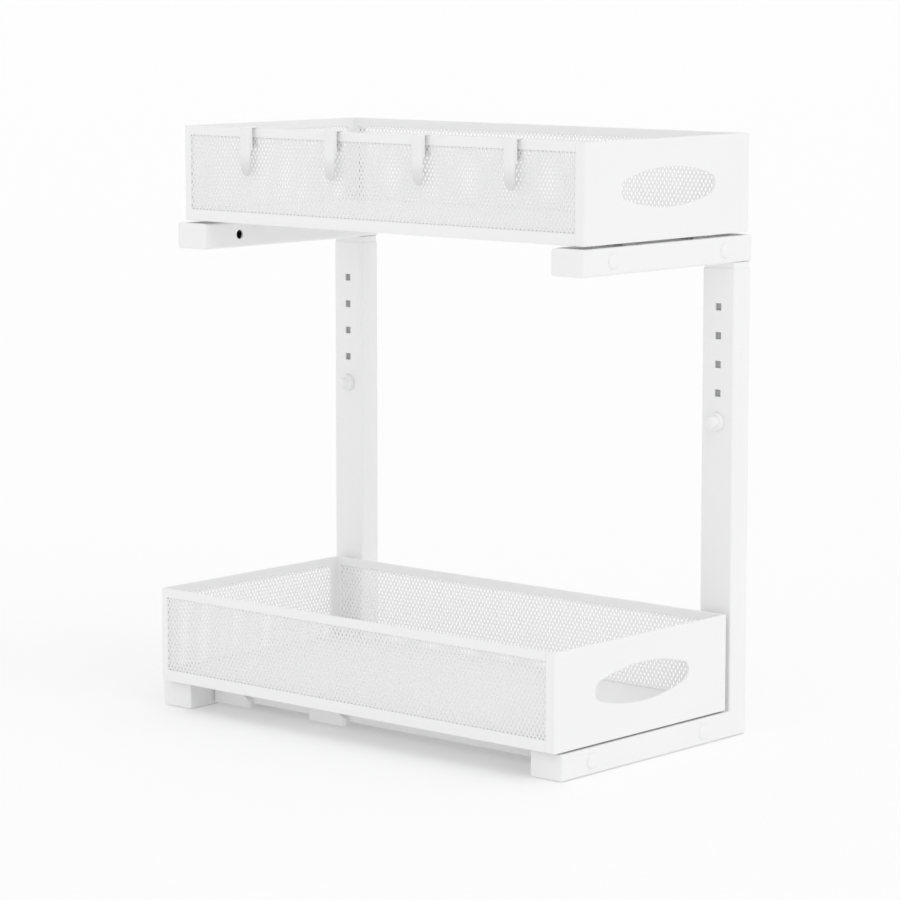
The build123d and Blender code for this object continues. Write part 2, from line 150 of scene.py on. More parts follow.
class HoleShadeMarks(PropertyGroup):
    """Painted shade: dark squares on the inner posts' webs behind the square holes of the outer
    posts, standing in for the shade inside the holes.
    """

    hole: length("Hole", "Side of a square hole", 0.0052)
    pitch: length("Pitch", "Height from one hole to the next", 0.020)
    lowest: length("Lowest", "Height of the lock knob's hole", 0.2218)
    highest: length("Highest", "Height under which holes are marked", 0.310)
    post_middle: length("Post Middle", "Distance of a post from the organizer's middle", 0.175)
    web: length("Web", "Only surfaces at a lower X than this are marked", 0.0882)


class HookShade(PropertyGroup):
    """Where the painted shade on the hooks' tongues starts and ends."""

    fade_start: length("Fade Start", "Height where the paint starts to change", 0.407)
    fade_end: length("Fade End", "Height where the change ends", 0.388)


class FinishColours(PropertyGroup):
    """Colours of the finishes."""

    steel: colour("Steel", "Powder coat of tubes and sheets", (0.91, 0.91, 0.912))
    hook: colour("Hook", "Moulded hooks", (0.885, 0.885, 0.887))
    # Painted shade: the hooks are darker near their tips to stand for the shade on the lower
    # tongue.
    hook_tip: colour("Hook Tip", "Moulded hooks near their thin tips", (0.72, 0.72, 0.724))
    # Painted shade: the hidden glide straps are grey so that the gap between the upper basket and
    # its arms looks as dark as its shade.
    glide: colour("Glide", "Grey paint of the hidden glide straps", (0.50, 0.50, 0.502))
    # Painted shade: this dark grey on the inner posts stands in for the shade inside the post
    # holes.
    post_hole: colour("Post Hole", "Marks of the holes in the inner posts", (0.37, 0.37, 0.372))
    net: colour("Net", "Powder coat of the left nets", (0.86, 0.86, 0.863))
    # Painted light: the right and rear nets are lighter than the left nets, standing in for light
    # on the basket's shaded inside.
    far_net: colour("Far Net", "Powder coat of the right and rear nets", (0.95, 0.95, 0.952))
    plastic: colour("Plastic", "Knobs, end caps, plugs and collars", (0.91, 0.91, 0.912))
    # Painted light: shoes and rails are lighter than the steel, standing in for light on them in
    # the shade under the lower basket.
    shoe: colour("Shoe", "Slider shoes under the baskets", (0.95, 0.95, 0.952))
    rail: colour("Rail", "Rails under the lower basket", (0.95, 0.95, 0.952))
    rubber: colour("Rubber", "Foot pads", (0.20, 0.20, 0.205))


class StageSettings(PropertyGroup):
    """Camera, lamps and floor."""

    camera_place: FloatVectorProperty(
        name="Camera Place", description="Where the photograph was taken from",
        default=(-1.85600, -1.64148, 0.53694), subtype="TRANSLATION", size=3, precision=5,
    )
    azimuth: arc("Azimuth", "Heading of the view", -0.847812)
    elevation: arc("Elevation", "Slope of the view", 0.137141)
    lens: FloatProperty(
        name="Lens", description="Focal length", subtype="DISTANCE_CAMERA", default=141.156
    )
    floor: colour("Floor", "Paint of the floor", (0.825, 0.825, 0.826))
    # Painted light: the floor glows though it is no lamp, which makes its shadows lighter.
    floor_glow: amount("Floor Glow", "Light of the floor itself, as of a light table", 0.195)
    backdrop: colour("Backdrop", "What the camera sees behind the object", (0.974, 0.974, 0.976))
    fill: brightness("Fill", "Radiance of the light from all round", 0.85)
    key: brightness("Key", "Strength of the soft lamp in front", 0.40)
    key_place: lamp_direction("Key Place", "Direction of the soft lamp", (-0.10, -0.65, 0.75))
    key_spread: arc("Key Spread", "Angle that the soft lamp fills", 0.87)
    low: brightness("Low", "Strength of the lamp near the floor", 0.08)
    low_place: lamp_direction("Low Place", "Direction of the low lamp", (-0.95, -0.15, 0.12))
    low_spread: arc("Low Spread", "Angle that the low lamp fills", 0.60)


def settings():
    """The organizer's own settings in the scene."""
    return bpy.context.scene.organizer


class Value:
    """A socket in an expression. Each operator adds the Math node that works it out."""

    def __init__(self, shader, socket):
        self.shader = shader
        self.socket = socket

    def maths(self, operation, first, second):
        """Adds a Math node."""
        return self.shader.node("ShaderNodeMath", {"operation": operation}, {0: first, 1: second})

    def __add__(self, other):
        return self.maths("ADD", self, other)

    __radd__ = __add__

    def __sub__(self, other):
        return self.maths("SUBTRACT", self, other)

    def __rsub__(self, other):
        return self.maths("SUBTRACT", other, self)

    def __mul__(self, other):
        return self.maths("MULTIPLY", self, other)

    __rmul__ = __mul__

    def __lt__(self, other):
        return self.maths("LESS_THAN", self, other)

    def __abs__(self):
        return self.maths("ABSOLUTE", self, 0.0)

    def wrapped(self, low, high):
        """The value moved by whole spans until it lies between two others."""
        wrap = {"operation": "WRAP"}
        return self.shader.node("ShaderNodeMath", wrap, {0: self, 1: high, 2: low})


class Shader:
    """A node tree that is written as expressions."""

    def __init__(self, tree):
        self.tree = tree
        self.tree.nodes.clear()

    def node(self, kind, choices, sockets, output=0):
        """Adds a node, sets it up, then gives its sockets values or links. Returns an output."""
        made = self.tree.nodes.new(kind)
        for name, choice in choices.items():
            setattr(made, name, choice)
        for name, value in sockets.items():
            if isinstance(value, Value):
                self.tree.links.new(value.socket, made.inputs[name])
            else:
                made.inputs[name].default_value = value
        return Value(self, made.outputs[output]) if made.outputs else made

    def place(self):
        """Object coordinates, in metres."""
        return self.node("ShaderNodeTexCoord", {}, {}, "Object")

    def parts(self, place):
        """X, Y and Z of some coordinates."""
        return [self.node("ShaderNodeSeparateXYZ", {}, {"Vector": place}, axis) for axis in "XYZ"]

    def noise(self, place, scale, detail=2.0):
        """Noise from 0 to 1 with about `scale` waves in a metre."""
        sockets = {"Vector": place, "Scale": scale, "Detail": detail}
        return self.node("ShaderNodeTexNoise", {}, sockets)

    def stretched(self, place, scales):
        """Coordinates scaled along each axis."""
        multiply = {"operation": "MULTIPLY"}
        return self.node("ShaderNodeVectorMath", multiply, {0: place, 1: scales})

    def blend(self, factor, first, second):
        """A colour between two others."""
        sockets = {"Factor": factor, "A": first, "B": second}
        return self.node("ShaderNodeMix", {"data_type": "RGBA"}, sockets, "Result")

    def bump(self, strength, distance, height):
        """The surface's normal, tilted by a height."""
        sockets = {"Strength": strength, "Distance": distance, "Height": height}
        return self.node("ShaderNodeBump", {}, sockets)

    def finish(self, sockets):
        """Ends a material with a Principled surface."""
        surface = self.node("ShaderNodeBsdfPrincipled", {}, sockets)
        self.node("ShaderNodeOutputMaterial", {}, {"Surface": surface})


def shade(rgb, share):
    """An opaque colour that is a share of another."""
    return (*(min(1.0, part * share) for part in rgb), 1.0)


def new_material(name):
    """A material with an empty node tree, and the tree."""
    material = bpy.data.materials.new(name)
    material.use_nodes = True
    return material, Shader(material.node_tree)


# A coat's tints are names in FinishColours. Its orange peel has a depth and a number of waves in
# a metre.
Coat = namedtuple(
    "Coat", "name tint roughness peel waves specular mark mark_tint", defaults=(0.5, None, None)
)
CLOUD_WAVES = 9.0
GLOSS_WAVES = 55.0
SPECK_RATIO = 3.1
STRIP_CLOUD_WAVES = 14.0
STRIP_LINE_WAVES = (1800.0, 12.0, 1800.0)


def coated(coat):
    """Powder coat, paint, moulded plastic or rubber.

    Broad noise moves the colour and the gloss a little, and two finer noises are the orange peel.
    A mark is a function of the coordinates, from 0 to 1 where a second colour lies.
    """
    tints = settings().colours
    rgb = getattr(tints, coat.tint)
    material, shader = new_material(coat.name)
    place = shader.place()
    cloud = shader.noise(place, CLOUD_WAVES)
    speck = shader.noise(place, coat.waves * SPECK_RATIO, 1.0)
    wave = shader.noise(place, coat.waves)
    tint = shader.blend(cloud, shade(rgb, 0.985), shade(rgb, 1.012))
    # Both marks are painted shade: dark squares behind the post holes and darker hook tips.
    if coat.mark:
        marked = shade(getattr(tints, coat.mark_tint), 1.0)
        tint = shader.blend(coat.mark(*shader.parts(place)), tint, marked)
    gloss = coat.roughness - 0.05 + 0.10 * shader.noise(place, GLOSS_WAVES)
    shader.finish(
        {
            "Base Color": tint,
            "Roughness": gloss,
            "Normal": shader.bump(0.5, coat.peel, 0.7 * wave + 0.3 * speck),
            "Specular IOR Level": coat.specular,
        }
    )
    return material


def rolled(name, rgb):
    """Painted strip that was rolled: faint lines run along Y under a satin coat."""
    material, shader = new_material(name)
    place = shader.place()
    lines = shader.noise(shader.stretched(place, STRIP_LINE_WAVES), 1.0)
    cloud = shader.noise(place, STRIP_CLOUD_WAVES)
    tint = shader.blend(cloud, shade(rgb, 0.975), shade(rgb, 1.01))
    shader.finish(
        {
            "Base Color": tint,
            "Roughness": 0.32 + 0.10 * lines,
            "Normal": shader.bump(0.4, 0.00004, lines),
            "Specular IOR Level": 0.5,
        }
    )
    return material


def painted_hole_shade(x, y, z):
    """Painted shade: 1 in squares on the webs of the inner posts, behind the square holes of the
    outer ones, where the holes' insides lie in shade.
    """
    holes = settings().holes
    half = holes.hole / 2
    beside = abs(abs(y) - holes.post_middle) < half
    level = abs((z - holes.lowest).wrapped(-holes.pitch / 2, holes.pitch / 2)) < half
    return beside * level * (x < holes.web) * (z < holes.highest)


def painted_hook_tip_shade(x, y, z):
    """Painted shade: rises smoothly from 0 to 1 down to the tips of the hooks, so the tongues get
    darker towards the bottom.
    """
    hooks = settings().hooks
    sockets = {"Value": z, "From Min": hooks.fade_start, "From Max": hooks.fade_end}
    return z.shader.node("ShaderNodeMapRange", {"interpolation_type": "SMOOTHSTEP"}, sockets)


COATS = {
    "white_steel": Coat("white powder coat", "steel", 0.46, 0.00006, 620.0),
    # The inner posts' coat carries painted shade: dark squares where the post holes show shade.
    "inner_post": Coat(
        "white powder coat with holes", "steel", 0.46, 0.00006, 620.0,
        mark=painted_hole_shade, mark_tint="post_hole",
    ),
    "white_mesh": Coat("white net coat", "net", 0.52, 0.00004, 900.0),
    # Painted light: a lighter copy of the net coat for the right and rear nets.
    "far_net": Coat("pale net coat", "far_net", 0.52, 0.00004, 900.0),
    "white_plastic": Coat("white moulded plastic", "plastic", 0.50, 0.00003, 1500.0, 0.45),
    # The hooks' coat carries painted shade, darker down to the tips.
    "hook_plastic": Coat(
        "hook plastic", "hook", 0.50, 0.00003, 1500.0, 0.45, mark=painted_hook_tip_shade, mark_tint="hook_tip"
    ),
    # Painted shade: grey straps in the gap under the upper basket.
    "glide_paint": Coat("glide paint", "glide", 0.45, 0.00003, 1200.0, 0.4),
    # Painted light: the shoes' coat is lighter than the steel.
    "shoe_plastic": Coat("shoe plastic", "shoe", 0.58, 0.00004, 1300.0, 0.4),
    "screw_paint": Coat("screw paint", "steel", 0.40, 0.00003, 1100.0),
    "foot_rubber": Coat("foot rubber", "rubber", 0.85, 0.00008, 1600.0, 0.25),
}
OWN_PAINT = {
    **{f"{side}_upper_frame": "inner_post" for side in SIDES},
    **{f"{tier}_basket_{place}_mesh": "far_net" for tier in TIERS for place in ("right", "rear")},
    **{f"upper_{place}_glide": "glide_paint" for place in ("left", "right")},
    **{hook: "hook_plastic" for hook in HOOKS},
}
FINISHES = {}


def make_finishes():
    """One material for each slot of the record, and some for pieces with a paint of their own."""
    finishes = {slot: coated(coat) for slot, coat in COATS.items()}
    # Painted light: the rails' strip is lighter than the steel, to lift the shade under the lower
    # basket.
    finishes["rail_steel"] = rolled("rolled strip", settings().colours.rail)
    return finishes


def finish_of(node):
    """The material of a node: its own paint or the one of its slot. All are made once."""
    if not FINISHES:
        FINISHES.update(make_finishes())
    return FINISHES[OWN_PAINT.get(node, SLOT_OF[node])]


def dress_like(piece, node):
    """Gives a new piece the finish, body and slot of a node."""
    piece.data.materials.clear()
    piece.data.materials.append(finish_of(node))
    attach(piece, BODY_OF[node])
    return piece


def stand_for(piece, node):
    """Dresses a new piece like the node that it replaces."""
    dress_like(piece, node)
    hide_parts(node)
    return piece


def new_piece(name, points, faces):
    """An object whose place is in its mesh, from an array of points and a list of faces."""
    mesh = bpy.data.meshes.new(name)
    mesh.from_pydata(points.tolist(), [], faces)
    mesh.update()
    piece = bpy.data.objects.new(name, mesh)
    bpy.context.scene.collection.objects.link(piece)
    return piece


def smooth(piece, angle=math.radians(35)):
    """Smooth shading that stays sharp at steeper edges."""
    piece.data.shade_smooth()
    piece.data.set_sharp_from_angle(angle=angle)


def face_outwards(piece):
    """Merges doubled points and turns all faces outwards."""
    work = bmesh.new()
    work.from_mesh(piece.data)
    bmesh.ops.remove_doubles(work, verts=work.verts, dist=1e-7)
    bmesh.ops.recalc_face_normals(work, faces=work.faces)
    work.to_mesh(piece.data)
    work.free()


def add_bevel(piece, width, segments=3, angle=math.radians(28)):
    """Rounds edges that turn by more than an angle, and keeps flat faces flat in the shading."""
    bevel = piece.modifiers.new("Rounded edges", "BEVEL")
    bevel.width = width
    bevel.segments = segments
    bevel.limit_method = "ANGLE"
    bevel.angle_limit = angle
    bevel.use_clamp_overlap = True
    bevel.harden_normals = False
    weighted = piece.modifiers.new("Flat faces", "WEIGHTED_NORMAL")
    weighted.keep_sharp = True


def rounded_copy(node, width, segments=3):
    """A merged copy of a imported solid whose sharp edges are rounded. It replaces the node."""
    mesh = frame["nodes"][node].data.copy()
    piece = bpy.data.objects.new(f"{node}_rounded", mesh)
    bpy.context.scene.collection.objects.link(piece)
    work = bmesh.new()
    work.from_mesh(mesh)
    bmesh.ops.remove_doubles(work, verts=work.verts, dist=1e-6)
    bmesh.ops.dissolve_limit(
        work, angle_limit=math.radians(0.3), verts=work.verts, edges=work.edges, delimit=set()
    )
    work.to_mesh(mesh)
    work.free()
    smooth(piece)
    add_bevel(piece, width, segments)
    return stand_for(piece, node)


def grid_faces(rows, columns, closed=False):
    """Quads of a grid of points, row by row. A closed grid joins its last column to its first."""
    row = np.arange(rows - 1)[:, None] * columns
    column = np.arange(columns if closed else columns - 1)[None, :]
    following = (column + 1) % columns
    here, beside = row + column, row + following
    return np.stack([here, beside, beside + columns, here + columns], -1).reshape(-1, 4).tolist()


def rounded_path(points, radii, steps=6):
    """A broken line with round corners.

    At a corner that turns by t, an arc of radius r starts and ends r tan(t / 2) from the corner.
    """
    points = np.asarray(points, float)
    found = [points[:1]]
    for corner, before, after, radius in zip(points[1:-1], points[:-2], points[2:], radii):
        arriving = (corner - before) / np.linalg.norm(corner - before)
        leaving = (after - corner) / np.linalg.norm(after - corner)
        turn = math.acos(np.clip(arriving @ leaving, -1, 1))
        start = corner - arriving * radius * math.tan(turn / 2)
        middle = leaving - arriving * (arriving @ leaving)
        inward = middle / np.linalg.norm(middle)
        angle = np.linspace(0, turn, steps + 1)[:, None]
        found.append(start + radius * (np.sin(angle) * arriving + (1 - np.cos(angle)) * inward))
    found.append(points[-1:])
    return np.concatenate(found)


def stacked(name, rings, poles=None):
    """A closed surface through rings of points, with a pole in the middle of both end rings."""
    rows, columns = rings.shape[:2]
    if poles is None:
        poles = rings[[0, -1]].mean(1)
    first = np.arange(columns)
    second = (first + 1) % columns
    start, end = np.full(columns, rows * columns), np.full(columns, rows * columns + 1)
    last_row = (rows - 1) * columns
    faces = grid_faces(rows, columns, closed=True)
    faces += np.stack([start, second, first], -1).tolist()
    faces += np.stack([end, last_row + first, last_row + second], -1).tolist()
    piece = new_piece(name, np.concatenate([rings.reshape(-1, 3), poles]), faces)
    face_outwards(piece)
    smooth(piece)
    return piece


def revolved(name, profile, origin, axis, across, segments):
    """A closed surface of revolution.

    A point of the profile is (distance along the axis, radius), from pole to pole. At angle a it
    lies at origin + distance axis + radius (cos a across + sin a up), where up is axis x across.
    """
    distance, radius = np.asarray(profile, float).T
    up = np.cross(axis, across)
    angle = np.arange(segments) * math.tau / segments
    ring = np.cos(angle)[:, None] * across + np.sin(angle)[:, None] * up
    middle = np.asarray(origin, float) + distance[:, None] * np.asarray(axis, float)
    rings = middle[1:-1, None, :] + radius[1:-1, None, None] * ring[None, :, :]
    return stacked(name, rings, middle[[0, -1]])


def joined(name, pieces):
    """One object from several."""
    first = pieces[0]
    choice = {"selected_objects": pieces, "selected_editable_objects": pieces}
    with bpy.context.temp_override(active_object=first, object=first, **choice):
        bpy.ops.object.join()
    first.name = name
    first.data.name = name
    return first


def box_of(node):
    """Lowest and highest corner of a node as arrays."""
    low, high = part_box(node)
    return np.array(low), np.array(high)


class ORGANIZER_OT_tube_frames(Operator):
    """Round the cut edges of the bent tubes, the collars and the rear strip"""

    bl_idname = "organizer.tube_frames"
    bl_label = "Tube Frames"

    def execute(self, context):
        edge = settings().rounds.tube_edge
        for side in SIDES:
            rounded_copy(f"{side}_lower_frame", edge)
            rounded_copy(f"{side}_upper_frame", edge)
            rounded_copy(f"{side}_post_collar", edge)
        rounded_copy("rear_bracket", edge)
        return {"FINISHED"}


class ORGANIZER_OT_basket_shells(Operator):
    """Round the folds and rims of both baskets"""

    bl_idname = "organizer.basket_shells"
    bl_label = "Basket Shells"

    def execute(self, context):
        edge = settings().rounds.sheet_edge
        for tier in TIERS:
            rounded_copy(f"{tier}_basket_front_panel", edge)
            rounded_copy(f"{tier}_basket_frame", edge)
            rounded_copy(f"{tier}_basket_floor", edge / 2)
        return {"FINISHED"}


EIGHT_POINTS = np.array(
    [(1, 0), (0.5, 0.5), (0, 1), (-0.5, 0.5), (-1, 0), (-0.5, -0.5), (0, -1), (0.5, -0.5)]
)


def net_wall(name, node, along, outward, sizes):
    """An expanded net in the window of a basket wall.

    Diamonds with half diagonals (column pitch / 2, row pitch) tile the wall in staggered rows.
    Each has an opening with the outline |x / a|^p + |y / b|^p = 1. Its front, its back and the
    edge of the opening are bands between four rings of points.
    """
    low, high = box_of(node)
    middle = (low + high) / 2
    span = abs((high - low) @ along) + 2 * sizes.lap
    tall = high[2] - low[2] + 2 * sizes.lap
    columns = round(span / sizes.column_pitch)
    rows = round(tall / sizes.row_pitch) - 1
    pitch = span / columns
    rise = tall / (rows + 1)
    cell = EIGHT_POINTS * (pitch / 2, rise)
    power = (np.abs(EIGHT_POINTS) ** sizes.roundness).sum(1) ** (-1 / sizes.roundness)
    hole = cell * power[:, None] * sizes.opening
    number, row = np.meshgrid(np.arange(columns), np.arange(rows))
    shift = (row % 2) * 0.5
    across = (number + 0.5 + shift) * pitch - span / 2
    height = (row + 1) * rise - tall / 2
    keep = (across < span / 2).ravel()
    centres = np.stack([across.ravel(), height.ravel()], -1)[keep]
    outline = np.stack([centres[:, None] + cell, centres[:, None] + hole], 1)
    depth = sizes.thickness / 2 * np.array((1.0, -1.0))
    flat = np.repeat(outline[:, None], 2, 1)
    points = (
        middle
        + flat[..., :1] * along
        + flat[..., 1:] * Z_AXIS
        + depth[None, :, None, None, None] * outward
    ).reshape(-1, 3)
    ring = len(EIGHT_POINTS)
    rim_front, hole_front, rim_back, hole_back = np.arange(4 * ring).reshape(4, ring)
    bands = ((rim_front, hole_front), (hole_back, rim_back), (hole_front, hole_back))
    cell_faces = np.concatenate(
        [
            np.stack([first, np.roll(first, -1), np.roll(second, -1), second], -1)
            for first, second in bands
        ]
    )
    starts = 4 * ring * np.arange(len(centres))
    faces = (cell_faces[None] + starts[:, None, None]).reshape(-1, 4)
    piece = new_piece(name, points, faces.tolist())
    face_outwards(piece)
    return piece


def hem(name, node, along, inward, sizes):
    """The narrow lip that holds a net from inside: a ring of four bars behind the window's edge.

    Its section is a rectangle, drawn as four rings of four corners each.
    """
    low, high = box_of(node)
    half = np.array((abs((high - low) @ along) / 2, (high[2] - low[2]) / 2))
    corners = np.array([(-1, -1), (1, -1), (1, 1), (-1, 1)])
    near, far = sizes.hem_gap, sizes.hem_gap + sizes.hem_thickness
    outer, inner = sizes.hem_lap, -sizes.hem_width
    rings = []
    for grow, depth in ((outer, near), (inner, near), (inner, far), (outer, far)):
        flat = corners * (half + grow)
        ring = (low + high) / 2 + depth * inward + flat[:, :1] * along + flat[:, 1:] * Z_AXIS
        rings.append(ring)
    points = np.concatenate(rings)
    faces = np.array(grid_faces(len(rings) + 1, len(corners), closed=True)) % len(points)
    piece = new_piece(name, points, faces.tolist())
    face_outwards(piece)
    return piece


class ORGANIZER_OT_nets(Operator):
    """Make the fine nets of the basket walls"""

    bl_idname = "organizer.nets"
    bl_label = "Nets"

    def execute(self, context):
        sizes = settings().nets
        beside = Y_AXIS, X_AXIS
        directions = {"left": beside, "right": beside, "rear": (X_AXIS, Y_AXIS)}
        for tier in TIERS:
            basket = f"{tier}_basket"
            for place, (along, outward) in directions.items():
                node = f"{basket}_{place}_mesh"
                stand_for(net_wall(f"{basket}_{place}_net", node, along, outward, sizes), node)
            lip = hem(f"{basket}_left_hem", f"{basket}_left_mesh", Y_AXIS, X_AXIS, sizes)
            dress_like(lip, f"{basket}_frame")
        return {"FINISHED"}


class ORGANIZER_OT_lock_knobs(Operator):
    """Turn the stepped lock knobs with round rims"""

    bl_idname = "organizer.lock_knobs"
    bl_label = "Lock Knobs"

    knob_length: length("Knob Length", "Length of disc and grip outside the post", 0.0092)
    disc_length: length("Disc Length", "Depth of the wide disc", 0.004)
    grip_radius: length("Grip Radius", "Radius of the narrower grip", 0.00425)
    shank_radius: length("Shank Radius", "Radius of the shank", 0.00245)
    crown: length("Crown", "Height of the middle of the grip's end over its rim", 0.0006)
    shank_edge: length("Shank Edge", "Radius at the end and the root of the shank", 0.0002)

    def execute(self, context):
        rounds = settings().rounds
        for side in SIDES:
            node = f"{side}_lock_knob"
            low, high = box_of(node)
            origin = np.array((high[0], (low[1] + high[1]) / 2, (low[2] + high[2]) / 2))
            total = high[0] - low[0]
            disc_radius = (high[1] - low[1]) / 2
            seat = total - self.knob_length
            step = seat + self.disc_length
            profile = rounded_path(
                [
                    (0, 0),
                    (0, self.shank_radius),
                    (seat, self.shank_radius),
                    (seat, disc_radius),
                    (step, disc_radius),
                    (step, self.grip_radius),
                    (total - self.crown, self.grip_radius),
                    (total - self.crown / 4, self.grip_radius / 2),
                    (total, 0),
                ],
                [
                    *(self.shank_edge,) * 3,
                    rounds.knob_edge,
                    rounds.knob_cove,
                    rounds.knob_edge,
                    self.grip_radius / 2,
                ],
            )
            piece = revolved(f"{side}_knob", profile, origin, -X_AXIS, Y_AXIS, rounds.segments)
            stand_for(piece, node)
        return {"FINISHED"}


DOME_RINGS = 17


def domed_pin(name, origin, axis, reach, sizes):
    """A low dome on a shank.

    The dome's profile is |height / dome height|^p + |radius / dome radius|^p = 1, where p is
    2 / bulge.
    """
    angle = np.linspace(0, QUARTER_TURN, DOME_RINGS)
    dome = np.stack(
        [
            sizes.dome_height * np.cos(angle) ** sizes.dome_bulge,
            sizes.dome_radius * np.sin(angle) ** sizes.dome_bulge,
        ],
        -1,
    )
    shank = sizes.shank_radius
    stem = np.array([(0, shank), (-reach, shank), (-reach, 0)])
    segments = settings().rounds.segments // 2
    return revolved(name, np.concatenate([dome, stem]), origin, axis, X_AXIS, segments)


class ORGANIZER_OT_domes(Operator):
    """Make the domed screws and plugs in the arms"""

    bl_idname = "organizer.domes"
    bl_label = "Screws and Plugs"

    dome_radius: length("Dome Radius", "Radius of a dome", 0.0052)
    dome_height: length("Dome Height", "Height of a dome over the arm", 0.0024)
    dome_bulge: amount("Dome Bulge", "1 for an ellipse, less for steeper sides", 0.72, 0.3)
    shank_radius: length("Shank Radius", "Radius of a shank", 0.002)
    screw_reach: length("Screw Reach", "Length of a screw's shank, into the rail", 0.040)
    plug_reach: length("Plug Reach", "Length of a plug's shank", 0.006)

    def execute(self, context):
        for node, name, tier, reach in (
            ("rail_screws", "rail_screw_domes", "lower", self.screw_reach),
            ("upper_arm_plugs", "arm_plug_domes", "upper", self.plug_reach),
        ):
            low, high = box_of(node)
            height = (low[2] + high[2]) / 2
            pins = []
            for corner, (side, axis) in enumerate(zip(SIDES, (-Y_AXIS, Y_AXIS))):
                face = box_of(f"{side}_{tier}_frame")[corner][1]
                for x in (low[0] + self.dome_radius, high[0] - self.dome_radius):
                    pins.append(domed_pin(name, (x, face, height), axis, reach, self))
            stand_for(joined(name, pins), node)
        return {"FINISHED"}


def rounded_rectangle(half_width, half_height, corner, steps=8):
    """Outline of a rounded rectangle: four quarter circles about the corner centres."""
    angle = np.linspace(0, QUARTER_TURN, steps)
    turns = np.concatenate([angle + quarter * QUARTER_TURN for quarter in range(4)])
    sign = np.repeat([(1, 1), (-1, 1), (-1, -1), (1, -1)], steps, axis=0)
    centre = sign * (half_width - corner, half_height - corner)
    return centre + corner * np.stack([np.cos(turns), np.sin(turns)], -1)


CROWN_SHARES = (0.15, 0.36, 0.58, 0.79)
RIM_RINGS = 6


def cap_piece(name, face_x, centre_y, centre_z, half_width, half_height, sizes):
    """An end cap: rings of rounded rectangles, each with its inset and its distance from the face.

    The face rises to the middle as 1 - share^2, the rim is a quarter circle, and the plug is
    straight.
    """
    rounds = settings().rounds
    edge = rounds.cap_edge
    face = rounded_rectangle(half_width - edge, half_height - edge, rounds.tube_corner / 2)
    outlines = [face * share for share in CROWN_SHARES]
    depths = [rounds.cap_crown * (share**2 - 1) for share in CROWN_SHARES]
    for angle in np.linspace(QUARTER_TURN, 0, RIM_RINGS):
        inset = edge * (1 - math.cos(angle))
        corner = max(rounds.tube_corner - inset, rounds.tube_corner / 2)
        outlines.append(rounded_rectangle(half_width - inset, half_height - inset, corner))
        depths.append(edge * (1 - math.sin(angle)))
    wall, thickness = sizes.wall, sizes.thickness
    plug = rounded_rectangle(half_width - wall, half_height - wall, rounds.tube_corner / 4)
    outlines += [outlines[-1], plug, plug]
    depths += [thickness, thickness, thickness + sizes.insert]
    flat = np.array(outlines)
    x = face_x + np.broadcast_to(np.array(depths)[:, None], flat.shape[:2])
    return stacked(name, np.stack([x, centre_y + flat[..., 0], centre_z + flat[..., 1]], -1))


class ORGANIZER_OT_end_caps(Operator):
    """Make the soft-edged caps in the ends of the arms"""

    bl_idname = "organizer.end_caps"
    bl_label = "End Caps"

    thickness: length("Thickness", "Depth of the part outside the tube", 0.0018)
    insert: length("Insert", "Depth of the plug in the tube", 0.010)
    wall: length("Wall", "Wall of the tube", 0.00155)

    def execute(self, context):
        for tier in TIERS:
            node = f"{tier}_arm_end_caps"
            low, high = box_of(node)
            caps = []
            for side in SIDES:
                arm_low, arm_high = box_of(f"{side}_{tier}_frame")
                middle = (arm_low[1] + arm_high[1]) / 2, (low[2] + high[2]) / 2
                halves = (arm_high[1] - arm_low[1]) / 2, (high[2] - low[2]) / 2
                caps.append(cap_piece(f"{tier}_end_caps", low[0], *middle, *halves, self))
            stand_for(joined(f"{tier}_end_caps", caps), node)
        return {"FINISHED"}


class ORGANIZER_OT_runners(Operator):
    """Round the rails, glide straps, slider shoes and foot pads"""

    bl_idname = "organizer.runners"
    bl_label = "Runners and Feet"

    def execute(self, context):
        rounds = settings().rounds
        edge = rounds.runner_edge
        for place in ("left", "right"):
            rounded_copy(f"lower_{place}_rail", edge)
            rounded_copy(f"lower_{place}_shoes", rounds.shoe_edge, 4)
            rounded_copy(f"upper_{place}_glide", edge / 2)
            rounded_copy(f"upper_{place}_shoes", edge)
        rounded_copy("foot_pads", edge / 4, 2)
        return {"FINISHED"}


def eased(value, start, end):
    """Goes smoothly from 0 at start to 1 at end, as 3 t^2 - 2 t^3."""
    share = np.clip((value - start) / (end - start), 0, 1)
    return share * share * (3 - 2 * share)


# Rings of a hook's tongue in its round tip, along its shaft and round its crown. The tip's end
# keeps the NARROWEST share of the width, and a corner's radius is at most the ROUNDEST share of
# half the thickness or width.
TIP_RINGS, SHAFT_RINGS, CROWN_RINGS = 9, 25, 5
CORNER_POINTS = 5
NARROWEST = 0.2
ROUNDEST = 0.9


